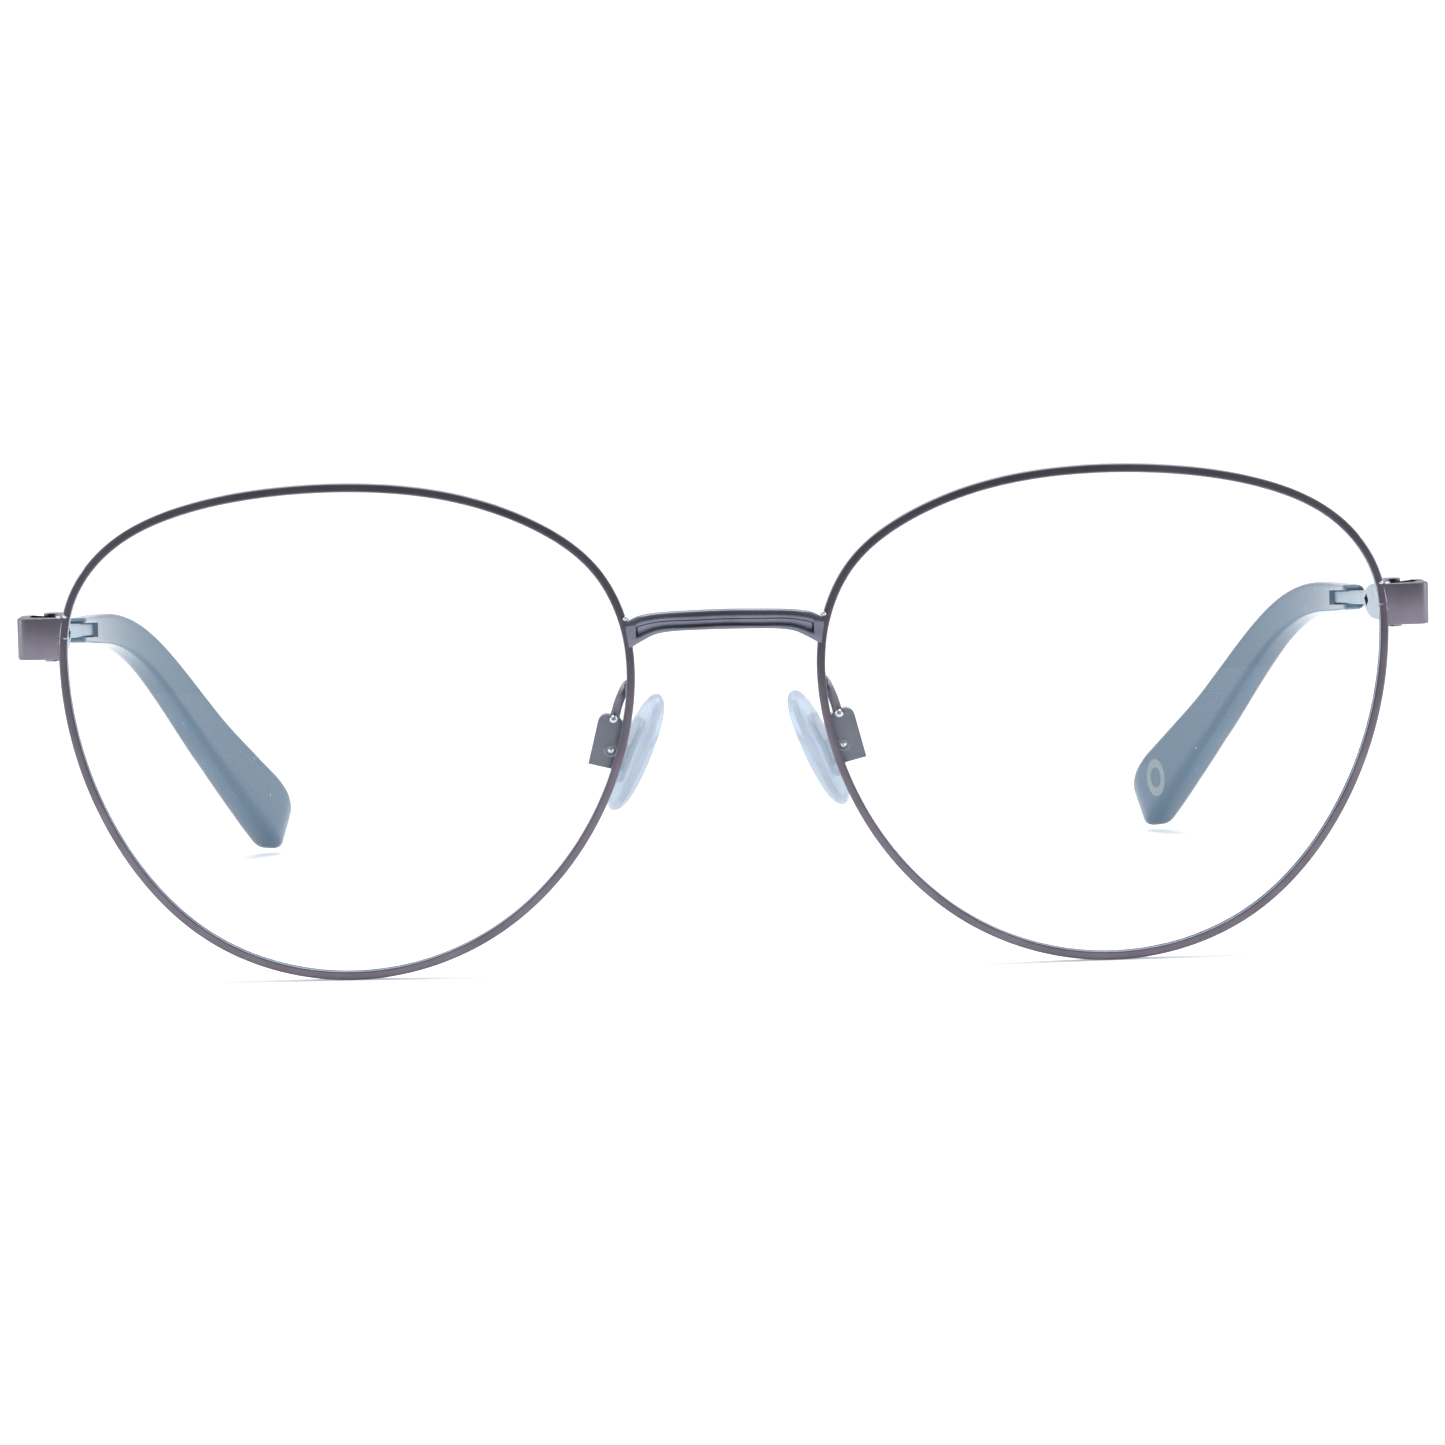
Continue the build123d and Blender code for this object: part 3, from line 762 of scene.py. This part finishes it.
TIP_LINE = (
    (67.95, 70.0, 30.07),
    (67.2, 80, 29.4),
    (65.65, 90, 28.6),
    (63.1, 100.5, 25.9),
    (57.4, 117, 15.7),
    (49.4, 134.9, 1.85),
)
TIP_SIZES = (
    (0.0, 2.65, 2.35),
    (0.15, 3.1, 2.5),
    (0.30, 3.5, 2.7),
    (0.45, 3.95, 3.0),
    (0.62, 4.6, 3.35),
    (0.75, 5.3, 3.65),
    (0.84, 6.2, 3.85),
    (0.92, 7.0, 3.95),
    (1.0, 7.2, 3.9),
)
TIP_LONG = 74.2
SWELL = 0.45
FULLNESS = 2.5
NOTCH = 9.6
FRONT_ROUND = 1.2
FRONT_SHRINK = 0.35
LIP_HALF = 0.74
STRIP_SHOWS = 0.1
CORNER_SOFT = 0.8
# Painted shade on the outer side of the tips: where it starts, how fast it darkens, and the least
# of the colour left.
PAINTED_SHADE_EDGE = 0.7
PAINTED_SHADE_SPAN = 0.5
PAINTED_SHADE_LEAST = 0.06
ROUND_END = 6.5
SIDE_ROUND = 4.2
LOWER_ROUND = 2.6

tip_where = np.concatenate(
    [
        np.array([0, 0.12, 0.35, 0.7, 1.2]) / TIP_LONG,
        np.linspace(2.0, NOTCH - 0.5, 9) / TIP_LONG,
        np.array([NOTCH - 0.15, NOTCH, NOTCH + 0.12]) / TIP_LONG,
        np.linspace(NOTCH + 0.8, TIP_LONG - ROUND_END, 60) / TIP_LONG,
        1 - ROUND_END / TIP_LONG * (1 - np.sin(np.linspace(0.05, 1, 26) * math.pi / 2)),
    ]
)
tip_place, tip_heading = bend_through(TIP_LINE, tip_where)
sizes = np.array(TIP_SIZES)
tip_high = np.interp(tip_where, sizes[:, 0], sizes[:, 1])
tip_thick = np.interp(tip_where, sizes[:, 0], sizes[:, 2])


def rounded_end(from_end, reach):
    """How much of the full size is left so near the end, where it is an arc of that reach."""
    return max(1 - max(1 - from_end / reach, 0) ** FULLNESS, 0.0001) ** (1 / FULLNESS)


tip_rings = []
tip_painted_shade = []
for where, place, to, high, thick in zip(tip_where, tip_place, tip_heading, tip_high, tip_thick):
    sideways = np.cross(to, (0, 0, 1))
    sideways = sideways / np.linalg.norm(sideways)
    above = np.cross(sideways, to)
    from_front = where * TIP_LONG
    from_end = max((1 - where) * TIP_LONG, 0)
    nose = math.sqrt(max(1 - max(1 - from_front / FRONT_ROUND, 0) ** 2, 0))
    nose = nose * FRONT_SHRINK + (1 - FRONT_SHRINK)
    half_u = thick / 2 * nose * rounded_end(from_end, SIDE_ROUND)
    above_v = high / 2 * nose * rounded_end(from_end, ROUND_END)
    below_v = high / 2 * nose * rounded_end(from_end, LOWER_ROUND)
    half_v, sink = (above_v + below_v) / 2, (above_v - below_v) / 2
    sink += SWELL * np.clip((where - 0.72) / 0.2, 0, 1)
    lip = min(LIP_HALF, half_v * 0.6)
    strip_face = -half_u
    if from_front < NOTCH:
        strip_face = np.interp(place[1], strip_back, strip_x) + STRIP_SHOWS - place[0]
    corners = [
        (half_u, half_v),
        (half_u, -half_v),
        (-half_u, -half_v),
        (-half_u, -lip),
        (strip_face, -lip),
        (strip_face, lip),
        (-half_u, lip),
        (-half_u, half_v),
    ]
    soft = min(half_u, half_v) * CORNER_SOFT
    section = eased(corners, [soft, soft, soft, 0.07, 0.04, 0.04, 0.07, soft], 5)
    # Painted shade: full acetate colour on the inner side of each section, darkening towards the
    # outer side.
    from_outer = PAINTED_SHADE_EDGE - section[:, 0] / half_u
    tip_painted_shade.extend(np.clip(from_outer / PAINTED_SHADE_SPAN, PAINTED_SHADE_LEAST, 1))
    tip_rings.append(
        [
            (
                place[0] + sideways[0] * u + above[0] * (v + sink),
                FRONT + place[1] + sideways[1] * u + above[1] * (v + sink),
                BASE + place[2] + sideways[2] * u + above[2] * (v + sink),
            )
            for u, v in section
        ]
    )
tip_points, tip_faces = skin(tip_rings)
for side, hand in ((1, "left"), (-1, "right")):
    piece(
        "acetate_tip_" + hand,
        "temple_" + hand[0],
        ["temple_tip_" + hand],
        tip_points,
        tip_faces,
        [acetate],
        side,
        50,
        tip_painted_shade,
    )

# Ring inlay: a paler acetate ring let into the inner face of the left tip, flush with it.
inlay_acetate, inlay_nodes, inlay_links, inlay_shader = fresh_finish("pale_inlay")
inlay_shader.inputs["Roughness"].default_value = 0.3
inlay_speckle = mottle(inlay_nodes, inlay_links, 1500)
inlay_colour = between(
    inlay_nodes, inlay_links, inlay_speckle, (0.17, 0.22, 0.26), (0.23, 0.275, 0.3)
)
inlay_links.new(inlay_colour, inlay_shader.inputs["Base Color"])

INLAY_AT = 0.905
INLAY_PROUD = 0.015
CAST_FROM = 6
tip_surface = BVHTree.FromPolygons([Vector(p) for p in tip_points], tip_faces)
spot, spot_heading = bend_through(TIP_LINE, [INLAY_AT])
spot = Vector((spot[0][0], FRONT + spot[0][1], BASE + spot[0][2]))
spot_along = Vector(spot_heading[0])
spot_inward = spot_along.cross(Vector((0, 0, -1))).normalized()
spot_up = spot_inward.cross(spot_along)
inlay_rings = []
for radius in (1.15, 1.3, 1.55, 1.8, 2.0, 2.1):
    ring = []
    for turn in once_round(48):
        off = (spot_along * math.cos(turn) + spot_up * math.sin(turn)) * radius
        hit = tip_surface.ray_cast(spot + spot_inward * CAST_FROM + off, -spot_inward)[0]
        ring.append(hit + spot_inward * INLAY_PROUD)
    inlay_rings.append(ring)
inlay_points, inlay_faces = skin(inlay_rings, ends=False)
piece(
    "ring_inlay",
    "temple_l",
    ["tip_inlay"],
    inlay_points,
    inlay_faces,
    [inlay_acetate],
    1,
    180,
)


# Pad arms: soft wire brazed to the back of the rim and bent down into the pad box, which is
# folded from thin sheet and closed round the lug of the pad by a screw.
ARM_LINE = (
    (9.58, 3.02, 27.9),
    (9.7, 4.9, 27.95),
    (10.2, 6.7, 27.0),
    (10.85, 7.4, 25.2),
    (11.05, 7.4, 24.4),
)
ARM_RADIUS = 0.48
box_metal = metal("pad_box_plating", (0.15, 0.155, 0.185), 0.22, 7000, 0.1)
arm_place, arm_heading = bend_through(ARM_LINE, np.linspace(0, 1, 40))
arm_rings = []
for place, to in zip(arm_place, arm_heading):
    sideways = np.cross(to, (1, 0, 0))
    sideways = sideways / np.linalg.norm(sideways)
    above = np.cross(sideways, to)
    centre = place + np.array((0, FRONT, BASE))
    arm_rings.append(
        [
            centre + ARM_RADIUS * (sideways * math.cos(turn) + above * math.sin(turn))
            for turn in once_round(16)
        ]
    )
arm_points, arm_faces = skin(arm_rings)
for side, hand in ((1, "left"), (-1, "right")):
    piece(
        "pad_wire_" + hand,
        "front",
        ["pad_arm_" + hand],
        arm_points,
        arm_faces,
        [gunmetal],
        side,
        60,
    )
    broken_edges("pad_box_" + hand, box_metal, 0.22)

# The arm ends in a bright drop of solder on the box, and the screw in a peened dot in a ring.
braze_drop("arm_solder", (11.15, FRONT + 6.4, FLOOR + 24.75), (0.55, 0.5, 0.55))
SCREW_X = 11.5
SCREW_Y = FRONT + 6.2
SCREW_Z = BASE + 21.45
DOT_RADIUS = 0.33
GROOVE_RADIUS = 0.54
PEENED = (
    (0.68, -0.12),
    (0.67, 0.02),
    (0.6, 0.07),
    (0.52, 0.06),
    (0.47, 0.004),
    (0.36, 0.004),
    (0.31, 0.06),
    (0.2, 0.11),
    (0.02, 0.12),
)
peened_rings = []
for radius, proud in PEENED:
    peened_rings.append(
        [
            (SCREW_X + radius * math.cos(turn), SCREW_Y - proud, SCREW_Z + radius * math.sin(turn))
            for turn in once_round(32)
        ]
    )
peened_points, peened_faces = skin(peened_rings)
for side, hand in ((1, "left"), (-1, "right")):
    screw = piece(
        "peened_screw_" + hand,
        "front",
        [],
        peened_points,
        peened_faces,
        [screw_steel, recess_painted_shade, braze_metal],
        side,
        45,
    )
    # The groove round the dot takes the near-black painted shade; the dot takes the bright braze
    # metal.
    for face in screw.data.polygons:
        x, y, z = face.center / MM
        from_axis = math.hypot(abs(x) - SCREW_X, z - SCREW_Z)
        if from_axis < DOT_RADIUS:
            face.material_index = 2
        elif from_axis < GROOVE_RADIUS:
            face.material_index = 1


# Nose pads: clear silicone moulded round a harder clear core, whose lug turns on the screw.
# They have a faint blue cast and a soft polished skin.
silicone, silicone_nodes, silicone_links, silicone_shader = fresh_finish("clear_silicone")
silicone_shader.inputs["IOR"].default_value = 1.41
silicone_shader.inputs["Transmission Weight"].default_value = 0.7
silicone_shader.inputs["Alpha"].default_value = 0.82
# The colour is pale blue where the pad faces the view and darkens towards its grazing edges; the
# darkening is painted shade.
silicone_rim = silicone_nodes.new("ShaderNodeLayerWeight")
silicone_rim.inputs["Blend"].default_value = 0.5
silicone_painted_edge_shade = between(
    silicone_nodes,
    silicone_links,
    silicone_rim.outputs["Facing"],
    (0.58, 0.69, 0.84),
    (0.22, 0.29, 0.37),
    (0.55, 0.97),
)
silicone_links.new(silicone_painted_edge_shade, silicone_shader.inputs["Base Color"])
silicone_haze = silicone_nodes.new("ShaderNodeMapRange")
silicone_haze.inputs["To Min"].default_value = 0.08
silicone_haze.inputs["To Max"].default_value = 0.26
silicone_links.new(mottle(silicone_nodes, silicone_links, 700), silicone_haze.inputs["Value"])
silicone_links.new(silicone_haze.outputs["Result"], silicone_shader.inputs["Roughness"])

core_plastic, core_nodes, core_links, core_shader = fresh_finish("pad_core_plastic")
core_shader.inputs["Transmission Weight"].default_value = 0.8
core_shader.inputs["Alpha"].default_value = 0.5
core_shader.inputs["IOR"].default_value = 1.5
core_shader.inputs["Roughness"].default_value = 0.3
core_haze = mottle(core_nodes, core_links, 900)
core_colour = between(core_nodes, core_links, core_haze, (0.55, 0.64, 0.73), (0.74, 0.82, 0.9))
core_links.new(core_colour, core_shader.inputs["Base Color"])

PAD_CENTRE = Vector((9.15, FRONT + 8.3, BASE + 21.0))
PAD_HALF_LONG = 6.3
PAD_HALF_WIDE = 3.7
pad_face = Vector((-0.895, 0.205, -0.394)).normalized()
pad_long = Vector((-0.403, 0, 0.915))
pad_long = (pad_long - pad_face * pad_long.dot(pad_face)).normalized()
pad_wide = pad_face.cross(pad_long)
PAD_PROFILE = (
    (0.02, 1.15),
    (0.4, 1.15),
    (0.64, 1.14),
    (0.78, 1.07),
    (0.88, 0.9),
    (0.955, 0.6),
    (1.0, 0.15),
    (0.985, -0.25),
    (0.91, -0.62),
    (0.76, -0.9),
    (0.54, -1.02),
    (0.3, -1.05),
    (0.02, -1.05),
)
pad_rings = []
for share, height in PAD_PROFILE:
    pad_rings.append(
        [
            PAD_CENTRE
            + pad_long * PAD_HALF_LONG * share * math.cos(turn)
            + pad_wide * PAD_HALF_WIDE * share * math.sin(turn)
            + pad_face * height
            for turn in once_round(48)
        ]
    )
pad_points, pad_faces = skin(pad_rings)
for side, hand in ((1, "left"), (-1, "right")):
    pad = piece(
        "silicone_pad_" + hand,
        "pad_" + hand[0],
        ["nose_pad_" + hand],
        pad_points,
        pad_faces,
        [silicone],
        side,
        180,
    )
    moulded = pad.modifiers.new("moulded", "SUBSURF")
    moulded.levels = moulded.render_levels = 1
    broken_edges("pad_core_" + hand, core_plastic, 0.15)
